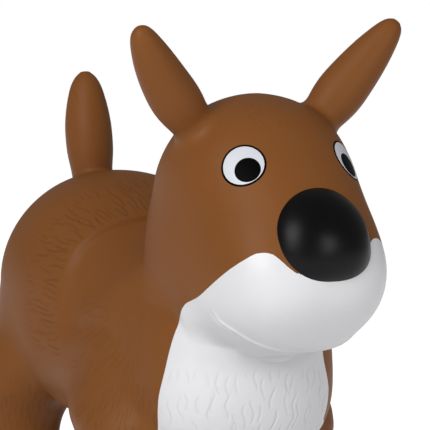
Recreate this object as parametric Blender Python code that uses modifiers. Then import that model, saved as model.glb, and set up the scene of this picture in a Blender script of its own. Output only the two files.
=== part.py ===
"""Bouncy ride-on deer: an air-filled, seamless moulded vinyl animal that a small child sits on and bounces.

The real thing is one hollow vinyl skin with a stopper in its belly. Here the skin is divided where it
flexes, where its colour changes and where its limbs swell out of the body. The pieces share one air
chamber, and every joint between them is a 0.3 mm gap.

Frame: metres, +Z up, origin on the floor under the middle of the toy, nose towards -Y, its left side at +X.
"""

import math

import bmesh
import bpy
from mathutils import Quaternion, Vector

MM = 0.001

# Moulded skin
WALL = 2.5 * MM
GAP = 0.3 * MM
SKIN_SIDES = 12
AIR_DETAIL = 0.33
LIMB_SIDES = 8
ROD_TWIST = math.radians(4)

# Feet and the stroke of the bounce
FOOT_FRONT = (81 * MM, -43 * MM)
FOOT_REAR = (82 * MM, 225 * MM)
ANKLE_RADIUS = 43.5 * MM
ANKLE_BOTTOM = 30 * MM
ANKLE_TOP = 74 * MM
ANKLE_HEIGHTS = (
    ANKLE_BOTTOM, ANKLE_BOTTOM + 2 * MM, ANKLE_TOP - 22 * MM, ANKLE_TOP - 4 * MM, ANKLE_TOP + 4 * MM,
)
ANKLE_MOUTH = 40 * MM
HOOF_TOP = 46 * MM
HOOF_CLEARANCE = 0.9 * MM
HOOF_FLOOR = 3.0 * MM
HOOF_FLARE = 2.0 * MM
HOOF_EDGE = 5.0 * MM
HOOF_CORNER = 4.0 * MM
HOOF_BEVEL = 1.5 * MM
HOOF_SIDES = 24

# Ears: each is a hollow leaf whose root rim slides on a ball on the head
EAR_ROOT = Vector((66 * MM, -125.5 * MM, 414 * MM))
EAR_TIP = Vector((148.6 * MM, -152 * MM, 517.5 * MM))
EAR_BOW = Vector((2.2 * MM, 4.2 * MM, -0.6 * MM))
EAR_BALL = 25 * MM
EAR_RINGS = (
    (0.02, 19.5), (0.12, 21.3), (0.30, 25.2), (0.48, 24.2), (0.68, 19.6), (0.85, 13.2), (0.96, 6.5),
    (1.0, 2.5),
)
EAR_FLATNESS = 0.93

# Tail: the same kind of root, on the rump
TAIL_ROOT = Vector((0, 213.5 * MM, 337 * MM))
TAIL_TIP = Vector((0, 231 * MM, 452 * MM))
TAIL_BOW = Vector((0, 1.5 * MM, 0))
TAIL_BALL = 25 * MM
TAIL_RINGS = (
    (0.04, 20.5), (0.22, 22.6), (0.44, 24.8), (0.64, 24.0), (0.81, 19.8), (0.94, 12.0), (1.0, 3.5),
)
FLEX_GAP = 0.65 * MM
BALL_SIDES = 20
SOCKET_SIDES = 28

# Eyes: thin printed discs, each a white field with a dark pupil and a dark rim
EYE_CENTRE = Vector((55.1 * MM, -195.6 * MM, 385 * MM))
EYE_NORMAL = Vector((0.56, -0.655, 0.506)).normalized()
EYE_RADIUS = 23.0 * MM
EYE_RIM = 1.3 * MM
PUPIL_RADIUS = 12.9 * MM
PUPIL_SHIFT = (-4.5 * MM, -5.0 * MM)
EYE_THICKNESS = 0.6 * MM
EYE_REACH = 18 * MM

# Valve under the belly: a thick collar with a bore, and a ribbed stopper pressed into it from below
VALVE_Y = 72 * MM
VALVE_LAND = 108.6 * MM
VALVE_BORE = 5.2 * MM
VALVE_COLLAR = 11 * MM
VALVE_DEPTH = 14 * MM
PLUG_FLANGE = 9.5 * MM
PLUG_FLANGE_HEIGHT = 2.2 * MM
PLUG_STEM = 4.4 * MM
PLUG_RIB = 4.9 * MM
PLUG_RIB_HEIGHT = 1.0 * MM
PLUG_RIB_SHARES = (0.72, 0.30)
PLUG_BEVEL = 0.8 * MM
PLUG_DIMPLE = 4 * MM
PLUG_DIMPLE_DEPTH = 1.2 * MM

# Section tables in millimetres. Body: along Y, then centre height, half width, reach up, reach down, and
# how square the section is above and below its middle, where 2 is an ellipse
BODY_RINGS = (
    (-131, 196, 60, 60, 60, 2.2, 2.2),
    (-111, 198, 84, 76, 76, 2.2, 2.2),
    (-63, 205, 100, 87, 93, 2.2, 2.3),
    (-13, 207, 103.5, 86, 97, 2.3, 2.5),
    (23, 208, 103.5, 84, 98, 2.3, 2.6),
    (50, 212, 106, 89, 102, 2.25, 2.6),
    (67, 216, 112.5, 102, 106, 2.25, 2.6),
    (112, 227, 119, 118.5, 117, 2.2, 2.6),
    (162, 233, 121, 120, 122, 2.15, 2.5),
    (215, 236, 112, 108, 111, 2.1, 2.3),
    (252, 239, 90, 85, 87, 2.0, 2.1),
    (273, 241, 67, 62, 64, 2.0, 2.0),
    (287.6, 242, 38, 35, 36, 2.0, 2.0),
)
# Neck: along Z, then centre y, half width, reach forwards, reach backwards, squareness
NECK_RINGS = (
    (86, -76, 58, 46, 48, 2.0),
    (97, -75, 84, 69, 71, 2.1),
    (118, -73, 95, 82, 85, 2.3),
    (148, -73, 101, 88, 90, 2.4),
    (185, -75, 99, 86, 92, 2.4),
    (225, -81, 94, 82, 88, 2.4),
    (270, -88, 88, 84, 80, 2.4),
    (310, -93, 80, 74, 74, 2.2),
)
# Head: along Z, then centre y, half width, reach forwards, reach backwards, squareness
HEAD_RINGS = (
    (206, -185, 34, 36, 46, 2.2),
    (215, -163, 53, 72, 80, 2.6),
    (232, -150, 76, 105, 119, 2.9),
    (256, -145, 89, 126, 134, 3.0),
    (286, -144, 92.5, 129, 134, 3.1),
    (316, -139, 92, 122, 131, 2.9),
    (345, -129, 92, 122, 121, 2.3),
    (372, -123, 92, 112, 109, 2.1),
    (398, -124, 85, 91, 87, 2.05),
    (422, -124, 64.5, 70, 64, 2.0),
    (439, -124, 41.5, 49, 41, 2.0),
    (447.5, -124, 17, 21, 17, 2.0),
)
NOSE_CENTRE = Vector((0, -249 * MM, 317 * MM))
NOSE_RADII = Vector((51.5 * MM, 38 * MM, 48 * MM))

# Legs: height, centre x, centre y, radius; the ankle below is straight
LEG_FRONT_RINGS = ((98, 80, -31, 59), (122, 76, -22, 62.5), (150, 65, -20, 55), (178, 55, -18, 40))
LEG_REAR_RINGS = (
    (92, 82, 222, 43.5), (112, 80, 215, 50), (134, 76, 205, 57), (162, 68, 191, 57), (190, 58, 183, 48),
)

# White area in side view: y and z of its border, from the lip round the cheek and down the chest
WHITE_BORDER = (
    (-313, 294), (-269, 295), (-259, 300), (-253, 305), (-248, 307), (-241, 304), (-227, 294),
    (-195, 271), (-150, 253), (-131, 244), (-122, 234), (-118, 216), (-112, 183), (-104, 155),
    (-96, 122), (-88, 98), (-85, 78), (-325, 78), (-325, 294),
)
WHITE_HALF_WIDTH = 190 * MM
WHITE_ROOM_HALF_WIDTH = 200 * MM

COLOURS = {
    "brown": ((0.190, 0.078, 0.026), 0.48),
    "white": ((0.780, 0.780, 0.800), 0.42),
    "black": ((0.004, 0.004, 0.004), 0.30),
    "hoof": ((0.050, 0.024, 0.012), 0.50),
    "plug": ((0.750, 0.750, 0.760), 0.40),
}


def start_scene():
    """Empty the file and make the two collections."""
    for old in list(bpy.data.objects):
        bpy.data.objects.remove(old, do_unlink=True)
    model = bpy.data.collections.new("bouncy_ride_on_deer")
    guides = bpy.data.collections.new("cutters")
    bpy.context.scene.collection.children.link(model)
    bpy.context.scene.collection.children.link(guides)
    return model, guides


MODEL, GUIDES = start_scene()


def material(node, finish):
    """One material for one sub-part."""
    colour, roughness = COLOURS[finish]
    made = bpy.data.materials.new(node + "_vinyl")
    made.use_nodes = True
    shader = made.node_tree.nodes["Principled BSDF"]
    shader.inputs["Base Color"].default_value = (*colour, 1.0)
    shader.inputs["Roughness"].default_value = roughness
    shader.inputs["Metallic"].default_value = 0.0
    made.diffuse_color = (*colour, 1.0)
    return made


def add_object(name, mesh, finish=None):
    """Link a mesh as a sub-part, or as a hidden cutter when it has no finish."""
    item = bpy.data.objects.new(name, mesh)
    if finish:
        mesh.materials.clear()
        mesh.materials.append(material(name, finish))
        MODEL.objects.link(item)
    else:
        GUIDES.objects.link(item)
        item.hide_render = True
        item.display_type = "WIRE"
    return item


def bmesh_object(name, shape, finish=None):
    """Turn a bmesh into an object."""
    shape.normal_update()
    bmesh.ops.recalc_face_normals(shape, faces=shape.faces)
    mesh = bpy.data.meshes.new(name)
    shape.to_mesh(mesh)
    shape.free()
    return add_object(name, mesh, finish)


def oval(centre, right, ahead, half_width, reach, reach_back, square, sides, square_back=None):
    """Points of one section: a superellipse that may reach further, and be squarer, one way."""
    points = []
    shrink = (4 + 2 * math.cos(2 * math.pi / sides)) / 6
    for index in range(sides):
        angle = 2 * math.pi * (index + 0.5) / sides
        c, s = math.cos(angle), math.sin(angle)
        power = 2 / (square if s > 0 else square_back or square)
        across = math.copysign(abs(c) ** power, c) * half_width / shrink
        along = math.copysign(abs(s) ** power, s) * (reach if s > 0 else reach_back) / shrink
        points.append(centre + right * across + ahead * along)
    return points


def cage(name, rings, finish=None, level=1):
    """A loft through unlike sections, smoothed by subdivision."""
    shape = bmesh.new()
    loops = [[shape.verts.new(point) for point in ring] for ring in rings]
    sides = len(loops[0])
    for lower, upper in zip(loops, loops[1:]):
        for index in range(sides):
            after = (index + 1) % sides
            shape.faces.new((lower[index], lower[after], upper[after], upper[index]))
    shape.faces.new(reversed(loops[0]))
    shape.faces.new(loops[-1])
    item = bmesh_object(name, shape, finish)
    smooth = item.modifiers.new("smooth", "SUBSURF")
    smooth.levels = level
    smooth.render_levels = level
    return item


def body_cage(name, finish=None):
    """The barrel and rump, with sections across the toy."""
    rings = [
        oval(Vector((0, y * MM, z * MM)), Vector((1, 0, 0)), Vector((0, 0, 1)),
             wide * MM, up * MM, down * MM, square, SKIN_SIDES, square_low)
        for y, z, wide, up, down, square, square_low in BODY_RINGS
    ]
    return cage(name, rings, finish)


def upright_cage(name, table, finish=None):
    """The neck or the head, with level sections."""
    rings = [
        oval(Vector((0, y * MM, z * MM)), Vector((1, 0, 0)), Vector((0, -1, 0)),
             wide * MM, front * MM, back * MM, square, SKIN_SIDES)
        for z, y, wide, front, back, square in table
    ]
    return cage(name, rings, finish)


def leg_cage(name, side, foot, table, finish=None):
    """One leg: a straight ankle that slides in its hoof, swelling into the thigh."""
    sections = [(height, side * foot[0], foot[1], ANKLE_RADIUS) for height in ANKLE_HEIGHTS]
    sections += [(z * MM, side * x * MM, y * MM, radius * MM) for z, x, y, radius in table]
    rings = [
        oval(Vector((x, y, z)), Vector((1, 0, 0)), Vector((0, -1, 0)), radius, radius, radius,
             2.0, LIMB_SIDES)
        for z, x, y, radius in sections
    ]
    return cage(name, rings, finish)


def leaf_cage(name, root, tip, bow, table, flatness, finish=None):
    """An ear or the tail: round sections along a slightly bowed stem, a little flat front to back."""
    stem = tip - root
    right = stem.cross(Vector((0, 1, 0)) if abs(stem.x) > abs(stem.y) else Vector((1, 0, 0))).normalized()
    ahead = right.cross(stem).normalized()
    rings = [
        oval(root + stem * share + bow * math.sin(math.pi * share), right, ahead,
             radius * MM, radius * MM * flatness, radius * MM * flatness, 2.0, LIMB_SIDES)
        for share, radius in table
    ]
    return cage(name, rings, finish)


def offset(item, distance):
    """Grow or shrink a smooth form along its normals."""
    push = item.modifiers.new("offset", "DISPLACE")
    push.strength = distance
    push.mid_level = 0.0
    return item


def plainer(item):
    """Fewer faces on an air space that nobody sees."""
    thin_out = item.modifiers.new("fewer_faces", "DECIMATE")
    thin_out.ratio = AIR_DETAIL
    return item


def combine(item, other, operation):
    """Boolean with a kept cutter."""
    cut = item.modifiers.new(other.name + "_" + operation.lower(), "BOOLEAN")
    cut.operation = operation
    cut.object = other
    cut.solver = "EXACT"
    return item


def ball(name, centre, radius, scale=(1, 1, 1), segments=BALL_SIDES, finish=None):
    """A sphere or ellipsoid, its size in the mesh."""
    shape = bmesh.new()
    bmesh.ops.create_uvsphere(shape, u_segments=segments, v_segments=segments // 2, radius=1.0)
    for vert in shape.verts:
        vert.co = centre + Vector(c * radius * s for c, s in zip(vert.co, scale))
    return bmesh_object(name, shape, finish)


def rod(name, start, end, radius, segments=24):
    """A round cutter between two points."""
    stem = end - start
    shape = bmesh.new()
    bmesh.ops.create_cone(shape, cap_ends=True, segments=segments, radius1=radius, radius2=radius,
                          depth=stem.length)
    turn = stem.to_track_quat("Z", "Y") @ Quaternion((0, 0, 1), ROD_TWIST)
    for vert in shape.verts:
        vert.co = (start + end) / 2 + turn @ vert.co
    return bmesh_object(name, shape)


def side_outline(name, points, half_width):
    """A closed outline in side view, drawn out across the toy."""
    shape = bmesh.new()
    loop = [shape.verts.new((-half_width, y * MM, z * MM)) for y, z in points]
    face = shape.faces.new(loop)
    moved = bmesh.ops.extrude_face_region(shape, geom=[face])
    lifted = [item for item in moved["geom"] if isinstance(item, bmesh.types.BMVert)]
    bmesh.ops.translate(shape, vec=(2 * half_width, 0, 0), verts=lifted)
    return bmesh_object(name, shape)


def joined(name, forms):
    """Union of several smooth forms into the first one."""
    first = forms[0]
    for other in forms[1:]:
        combine(first, other, "UNION")
    first.name = name
    return first


def head_forms(suffix, distance, finish=None):
    """Head, neck and the two ear balls, all grown or shrunk alike."""
    head = upright_cage("head" + suffix, HEAD_RINGS, finish)
    neck = upright_cage("neck" + suffix, NECK_RINGS)
    if distance:
        offset(head, distance)
        offset(neck, distance)
    balls = [ball("ear_ball_" + word + suffix, EAR_ROOT * Vector((side, 1, 1)), EAR_BALL + distance)
             for side, word in ((1, "left"), (-1, "right"))]
    return [head, neck] + balls


def body_forms(suffix, distance, finish=None):
    """Barrel and rump with the tail ball, grown or shrunk alike."""
    body = body_cage("body" + suffix, finish)
    if distance:
        offset(body, distance)
    return [body, ball("tail_ball" + suffix, TAIL_ROOT, TAIL_BALL + distance)]


def leg_list():
    """Name, side, foot and section table of each leg."""
    legs = []
    for side, word in ((1, "left"), (-1, "right")):
        legs.append(("front_" + word, side, FOOT_FRONT, LEG_FRONT_RINGS))
        legs.append(("rear_" + word, side, FOOT_REAR, LEG_REAR_RINGS))
    return legs


def leaf_list():
    """Name, root, tip, bow, ball size, sections and flatness of the ears and tail."""
    leaves = []
    for side, word in ((1, "left"), (-1, "right")):
        mirror = Vector((side, 1, 1))
        leaves.append(("ear_" + word, EAR_ROOT * mirror, EAR_TIP * mirror, EAR_BOW * mirror, EAR_BALL,
                       EAR_RINGS, EAR_FLATNESS))
    leaves.append(("tail", TAIL_ROOT, TAIL_TIP, TAIL_BOW, TAIL_BALL, TAIL_RINGS, 1.0))
    return leaves


def leg_air():
    """The air spaces of the four legs, down through their open ankles."""
    hollows = []
    for name, side, foot, table in leg_list():
        hollow = plainer(offset(leg_cage("air_leg_" + name, side, foot, table), -WALL))
        low = Vector((side * foot[0], foot[1], ANKLE_BOTTOM - 10 * MM))
        high = Vector((side * foot[0], foot[1], ANKLE_TOP - 14 * MM))
        hollows.append((hollow, rod("mouth_" + name, low, high, ANKLE_MOUTH)))
    return hollows


def make_legs(hollows, rooms):
    """Four hollow legs whose open ankles slide in the hoof cups."""
    for (name, side, foot, table), (hollow, mouth) in zip(leg_list(), hollows):
        leg = leg_cage("leg_" + name, side, foot, table, "brown")
        combine(leg, hollow, "DIFFERENCE")
        combine(leg, mouth, "DIFFERENCE")
        for room in rooms:
            combine(leg, room, "DIFFERENCE")
        make_hoof(name, side, foot)


def make_hoof(name, side, foot):
    """A moulded cup that the ankle slides into, flared to the floor."""
    inner = ANKLE_RADIUS + HOOF_CLEARANCE
    rim = inner + WALL
    sole = rim + HOOF_FLARE
    profile = [
        (inner, HOOF_TOP), (rim, HOOF_TOP), (sole, HOOF_EDGE), (sole - HOOF_BEVEL, HOOF_BEVEL),
        (sole - HOOF_EDGE, 0), (0, 0), (0, HOOF_FLOOR), (inner - HOOF_CORNER, HOOF_FLOOR),
        (inner, HOOF_FLOOR + HOOF_CORNER),
    ]
    turned("hoof_" + name, profile, Vector((side * foot[0], foot[1], 0)), "hoof", HOOF_SIDES)


def turned(name, profile, place, finish, steps):
    """A closed profile of radius and height spun about the vertical."""
    shape = bmesh.new()
    verts = [shape.verts.new((radius, 0, height)) for radius, height in profile]
    edges = [shape.edges.new(pair) for pair in zip(verts, verts[1:] + verts[:1])]
    bmesh.ops.spin(shape, geom=verts + edges, cent=(0, 0, 0), axis=(0, 0, 1), angle=2 * math.pi, steps=steps,
                   use_merge=True)
    bmesh.ops.remove_doubles(shape, verts=shape.verts, dist=0.01 * MM)
    loose = [edge for edge in shape.edges if edge.is_wire]
    bmesh.ops.delete(shape, geom=loose, context="EDGES")
    bmesh.ops.translate(shape, vec=place, verts=shape.verts)
    return bmesh_object(name, shape, finish)


def make_leaves():
    """Ears and tail: hollow leaves whose rims ride on the balls."""
    for name, root, tip, bow, radius, table, flatness in leaf_list():
        leaf = leaf_cage(name, root, tip, bow, table, flatness, "brown")
        hollow = plainer(offset(leaf_cage("air_" + name, root, tip, bow, table, flatness), -WALL))
        socket = ball("socket_" + name, root, radius + FLEX_GAP, segments=SOCKET_SIDES)
        combine(leaf, hollow, "DIFFERENCE")
        combine(leaf, socket, "DIFFERENCE")


def make_nose(air):
    """The nose: a hollow swelling on the front of the head, open to the air inside."""
    nose = ball("nose_skin", NOSE_CENTRE, 1.0, NOSE_RADII, 24, "black")
    thinner = Vector((WALL, WALL, WALL))
    combine(nose, ball("nose_air", NOSE_CENTRE, 1.0, NOSE_RADII - thinner, 16), "DIFFERENCE")
    combine(nose, air, "DIFFERENCE")
    return ball("nose_room", NOSE_CENTRE, 1.0, NOSE_RADII + thinner * (GAP / WALL), 24)


def make_skin(hollows):
    """Trunk, head, muzzle and chest, divided where they swell out of each other and at the paint border."""
    air = plainer(joined("air_chamber", body_forms("_air", -WALL) + head_forms("_air", -WALL)))
    trunk_room = joined("trunk_room", body_forms("_room", GAP))
    head_room = joined("head_room", head_forms("_room", GAP))
    face_room = offset(upright_cage("face_room", HEAD_RINGS), GAP)
    white_room = side_outline("white_room", WHITE_BORDER, WHITE_ROOM_HALF_WIDTH)
    white = offset(side_outline("white_area", WHITE_BORDER, WHITE_HALF_WIDTH), -GAP)
    nose_room = make_nose(air)

    trunk = joined("trunk_skin", body_forms("", 0, "brown"))
    combine(trunk, air, "DIFFERENCE")
    make_valve(trunk)

    head = joined("head_skin", head_forms("", 0, "brown"))
    for cutter in (white_room, trunk_room, nose_room, air):
        combine(head, cutter, "DIFFERENCE")

    muzzle = upright_cage("muzzle_skin", HEAD_RINGS, "white")
    combine(muzzle, white, "INTERSECT")
    for cutter in (nose_room, air):
        combine(muzzle, cutter, "DIFFERENCE")

    chest = upright_cage("chest_skin", NECK_RINGS, "white")
    combine(chest, white, "INTERSECT")
    for cutter in (face_room, trunk_room, air):
        combine(chest, cutter, "DIFFERENCE")

    for hollow, _ in hollows:
        for skin in (trunk, head, chest):
            combine(skin, hollow, "DIFFERENCE")
    return trunk_room, head_room


def make_valve(trunk):
    """A thick collar moulded into the belly, and the stopper that closes it."""
    foot = Vector((0, VALVE_Y, VALVE_LAND))
    rise = Vector((0, 0, 1))
    combine(trunk, rod("valve_collar", foot, foot + rise * VALVE_DEPTH, VALVE_COLLAR), "UNION")
    combine(trunk, rod("valve_bore", foot - rise * 5 * MM, foot + rise * 25 * MM, VALVE_BORE), "DIFFERENCE")
    top = VALVE_LAND - GAP
    flange = top - PLUG_FLANGE_HEIGHT
    profile = [(0, top + VALVE_DEPTH), (PLUG_STEM - PLUG_BEVEL, top + VALVE_DEPTH)]
    half = PLUG_RIB_HEIGHT / 2
    foot_of_rib = half + PLUG_BEVEL
    for share in PLUG_RIB_SHARES:
        middle = top + VALVE_DEPTH * share
        profile += [(PLUG_STEM, middle + foot_of_rib), (PLUG_RIB, middle + half),
                    (PLUG_RIB, middle - half), (PLUG_STEM, middle - foot_of_rib)]
    profile += [
        (PLUG_STEM, top), (PLUG_FLANGE, top), (PLUG_FLANGE, flange + PLUG_BEVEL),
        (PLUG_FLANGE - PLUG_BEVEL, flange), (PLUG_DIMPLE, flange),
        (PLUG_DIMPLE - PLUG_BEVEL, flange + PLUG_DIMPLE_DEPTH), (0, flange + PLUG_DIMPLE_DEPTH),
    ]
    turned("valve_plug", profile, Vector((0, VALVE_Y, 0)), "plug", 16)


def make_eyes():
    """Each eye is a thin disc that follows the head: a rim, a white field and a pupil let into it."""
    for side, word in ((1, "left"), (-1, "right")):
        mirror = Vector((side, 1, 1))
        normal = EYE_NORMAL * mirror
        centre = EYE_CENTRE * mirror
        down = (normal * normal.z - Vector((0, 0, 1))).normalized()
        inward = down.cross(normal) * side
        pupil_centre = centre - inward * PUPIL_SHIFT[0] - down * PUPIL_SHIFT[1]
        disc = eye_cutter("eye_disc_" + word, centre, normal, EYE_RADIUS)
        inside_rim = eye_cutter("eye_inside_rim_" + word, centre, normal, EYE_RADIUS - EYE_RIM)
        field = eye_cutter("eye_field_" + word, centre, normal, EYE_RADIUS - EYE_RIM - GAP)
        pupil = eye_cutter("eye_pupil_" + word, pupil_centre, normal, PUPIL_RADIUS)
        pupil_room = eye_cutter("eye_pupil_room_" + word, pupil_centre, normal, PUPIL_RADIUS + GAP)
        combine(eye_sheet("eye_rim_" + word, "black", disc), inside_rim, "DIFFERENCE")
        combine(eye_sheet("eye_white_" + word, "white", field), pupil_room, "DIFFERENCE")
        eye_sheet("pupil_" + word, "black", pupil)


def eye_cutter(name, centre, normal, radius):
    """A round punch along the eye's own axis."""
    return rod(name, centre - normal * EYE_REACH, centre + normal * EYE_REACH, radius)


def eye_sheet(name, finish, punch):
    """A thin layer just off the head's surface, punched to shape."""
    sheet = offset(upright_cage(name, HEAD_RINGS, finish), GAP)
    thick = sheet.modifiers.new("thickness", "SOLIDIFY")
    thick.thickness = EYE_THICKNESS
    thick.offset = 1.0
    return combine(sheet, punch, "INTERSECT")


def build():
    """Make every piece of the toy."""
    hollows = leg_air()
    rooms = make_skin(hollows)
    make_legs(hollows, rooms)
    make_leaves()
    make_eyes()
    for item in MODEL.objects:
        item.data.shade_smooth()
        item.data.set_sharp_from_angle(angle=math.radians(35))


build()
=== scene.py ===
"""Looks of an air-filled ride-on deer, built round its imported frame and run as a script.

Lengths in the tables and in the working functions are millimetres. They become metres when a mesh is made.
"""

import math

import bmesh
import bpy
import numpy as np
from bpy.props import FloatProperty, FloatVectorProperty, PointerProperty
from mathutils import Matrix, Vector


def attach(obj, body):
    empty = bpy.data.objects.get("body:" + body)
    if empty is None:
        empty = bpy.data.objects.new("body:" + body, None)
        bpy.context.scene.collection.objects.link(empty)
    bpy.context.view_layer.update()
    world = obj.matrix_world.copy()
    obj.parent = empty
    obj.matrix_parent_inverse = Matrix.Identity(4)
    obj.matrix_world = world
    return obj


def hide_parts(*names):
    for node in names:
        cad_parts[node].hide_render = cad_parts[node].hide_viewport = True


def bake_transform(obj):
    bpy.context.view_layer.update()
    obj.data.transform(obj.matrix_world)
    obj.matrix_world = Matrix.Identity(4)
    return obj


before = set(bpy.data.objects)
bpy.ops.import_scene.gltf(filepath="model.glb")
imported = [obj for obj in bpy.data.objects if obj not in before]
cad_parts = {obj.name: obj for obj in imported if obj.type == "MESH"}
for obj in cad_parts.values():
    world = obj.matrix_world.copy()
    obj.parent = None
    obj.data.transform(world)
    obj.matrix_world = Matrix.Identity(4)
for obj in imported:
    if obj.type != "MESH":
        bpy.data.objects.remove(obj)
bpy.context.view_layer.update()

bl_info = {
    "name": "Bouncy Ride-on Deer",
    "version": (1, 0, 0),
    "blender": (4, 5, 0),
    "location": "3D View > Sidebar > Deer",
    "description": "Builds the visible pieces of an inflatable ride-on deer round its packed frame",
    "category": "Add Mesh",
}

MM = 0.001
# Right, ahead and along directions of a form that stands upright, and of one that lies from front to back
LEVEL = np.array([[1.0, 0, 0], [0, -1.0, 0], [0, 0, 1.0]])
ACROSS = np.array([[1.0, 0, 0], [0, 0, 1.0], [0, 1.0, 0]])

# Barrel and rump. Each row: y, centre height, half width, reach up, reach down, squareness above and below
BODY = (
    (-60, 205, 90, 78, 84, 2.2, 2.3), (-40, 206, 101, 87, 94, 2.3, 2.4), (-13, 207, 106.5, 90, 97, 2.3, 2.5),
    (23, 208, 107.5, 88.5, 98.5, 2.3, 2.8), (50, 212, 109.5, 94.5, 102, 2.25, 3.1),
    (67, 216, 113, 103, 106, 2.25, 3.4), (90, 221.5, 116.5, 111.5, 111.5, 2.22, 3.6),
    (112, 227, 119.3, 118.2, 117, 2.2, 3.7), (137, 230.5, 121, 120.4, 120, 2.18, 3.5),
    (162, 233, 121, 119.8, 122, 2.1, 3.0), (188, 235, 118, 115, 118, 2.04, 2.6),
    (215, 236, 111, 107, 110, 2.0, 2.35), (250, 238, 88.5, 82, 87, 2.0, 2.1),
    (270, 240, 65, 58, 64, 2.0, 2.0), (283, 241, 42, 37, 41, 2.0, 2.0),
)
# Seat: heights and y of its rear rim, y and heights of its front line, and how deep it lies
SEAT_RIM = ((180, 195, 220, 263, 285, 305, 314), (66, 69, 73, 73, 71, 65, 60))
SEAT_FRONT = ((-62, -23, 6, 32, 42, 51, 62), (280, 265, 244, 228, 211, 186, 165))
SEAT_DEPTH = 4.5
# Neck and chest. Each row: height, centre y, half width, reach forwards, reach backwards, squareness
NECK = (
    (88, -76, 64, 50, 52, 2.1), (98, -75, 85, 69, 71, 2.2), (116, -73, 97.5, 81.5, 84, 2.3),
    (145, -73, 104, 89, 90, 2.4), (185, -75, 101.5, 87, 92, 2.4), (225, -81, 95, 83, 88, 2.4),
    (258, -87, 82, 76, 74, 2.4), (280, -91, 58, 56, 50, 2.3),
)
# Head, from its root inside the neck to the crown, with the neck's columns
HEAD = (
    (150, -95, 22, 20, 20, 2.0), (185, -112, 30, 27, 27, 2.1), (197, -146, 37, 33, 34, 2.2),
    (204.5, -185, 43, 42, 46, 2.3), (213.5, -163, 62, 78, 80, 2.7), (232, -150, 82, 108, 119, 2.9),
    (256, -145, 93, 127.5, 134, 3.0), (286, -144, 96, 130, 134, 3.1), (316, -139, 93.5, 122.5, 131, 2.9),
    (345, -129, 92, 122, 121, 2.3), (372, -123, 92, 112, 109, 2.1), (398, -124, 87, 91, 87, 2.05),
    (422, -124, 71.5, 72, 66, 2.0), (436, -124, 52, 53, 47, 2.0), (444, -124, 32, 33, 29, 2.0),
    (447.4, -124, 16, 17, 15, 2.0), (448.3, -124, 7, 7, 6.5, 2.0),
)
# Legs, from the sole up: height and radius. Thighs: height, centre x, centre y, radius, reach backwards
HOOF = ((2, 44.5), (5, 47.5), (10, 49), (30, 48), (42, 47.3), (45.5, 46.8), (47, 44.6))
ANKLE_FRONT = ((52, 43.5), (62, 43.5), (72, 43.6))
ANKLE_REAR = ((52, 42.6), (62, 41.2), (74, 41.2))
FOOT_FRONT = (81, -43)
FOOT_REAR = (82, 225)
THIGH_FRONT = ((98, 80, -31, 60, 60), (110, 78, -27, 62, 67), (125, 75, -22, 65.5, 87), (150, 64, -18, 60, 84),
               (180, 48, -15, 50, 68), (205, 34, -14, 36, 46))
THIGH_REAR = ((92, 82, 222, 43.2, 43.2), (110, 80, 216, 49.5, 49.5), (130, 77, 209, 56.5, 56.5),
              (160, 69, 202, 61, 61), (190, 61, 198, 54, 54))
HOOF_LINE = 46
CLEFT_DEPTH = 2.4
CLEFT_WIDTH = 2.2
# Small moulded shapes on the front: the roll along the muzzle's lower edge, and the lower lip
MUZZLE_ROLL = (
    (0, -222, 205.5), (19, -222, 207.5), (41.5, -220, 212), (58, -213.5, 219), (71, -206.6, 227.5),
    (81, -193, 237), (88, -189.6, 249.6),
)
ROLL_HEIGHT = 1.9
ROLL_WIDTH = 2.2
ROLL_GROOVE = 0.6
ROLL_GROOVE_PLACE = 1.8
LIP_CENTRE = np.array((0, -163, 195.5))
LIP_SIZE = np.array((20, 17, 8.5))
# Ears and tail: root, tip, then distance back from the tip and radius there
EAR_ROOT = np.array((66, -125.5, 414))
EAR_TIP = np.array((147, -151.8, 517.5))
EAR = (
    (136, 19), (122, 21), (108, 24), (96, 25.5), (83, 25.4), (70, 24.2), (57, 22.8), (40, 20.2), (30, 18),
    (22, 16.1), (14, 13.9), (7, 11), (3.5, 8.4), (1.2, 5),
)
EAR_FLATNESS = 0.93
EAR_BOW = np.array((2.2, 4.2, -0.6))
EAR_SEAM = 34
TAIL_ROOT = np.array((0, 213.5, 337))
TAIL_TIP = np.array((0, 231, 452))
TAIL = (
    (116, 21), (104, 21.8), (95, 23.2), (84, 24.8), (64, 25), (53, 24.2), (43, 22.9), (32, 20.8),
    (21, 18.2), (11, 14.4), (5, 10.2), (1.6, 5.8),
)
TAIL_BOW = np.array((0, 1.5, 0))
TAIL_SEAM = 22
# Reaches of the fillets where the forms run into one another
NECK_FILLET = 30
LEG_FRONT_FILLET, BELLY_FILLET = 16, 36
LEG_REAR_FILLET, HAUNCH_FILLET = 18, 14
THROAT_FILLET, NAPE_FILLET, JAW_FILLET = 5, 14, 27
LIP_FILLET = 1.5
EAR_FILLET = 14
TAIL_FILLET = 5
# Paint border in side view, y and height, from the lip over the cheek and down the chest, the three corners that
# close it, and how far it lies further forward on the far side's chest and higher on the far side's muzzle
PAINT = (
    (-313, 291), (-274, 289), (-269.5, 286.2), (-266, 291.2), (-262.3, 296.8), (-258.5, 301.5), (-255.2, 304.6),
    (-251, 306.1), (-246.7, 305.6), (-243.5, 304.2), (-236.4, 298.5), (-224, 289.4), (-204.3, 276.1), (-177, 260.3),
    (-158, 253), (-147, 249.2), (-140.6, 245.1), (-133.5, 238.9), (-124, 229), (-119.5, 215), (-115.8, 197),
    (-113.2, 182.5), (-109.8, 168), (-106.1, 154.7), (-102.6, 137.4), (-98.8, 123), (-92, 106), (-88, 98),
)
PAINT_CLOSE = ((-83, 80), (-330, 80), (-330, 291))
PAINT_DRIFT = 35
PAINT_LIFT = 7.5
PAINT_FAR = 60.0
# How far every open edge of a piece turns inwards
LID_DEPTH = 13.0
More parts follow.
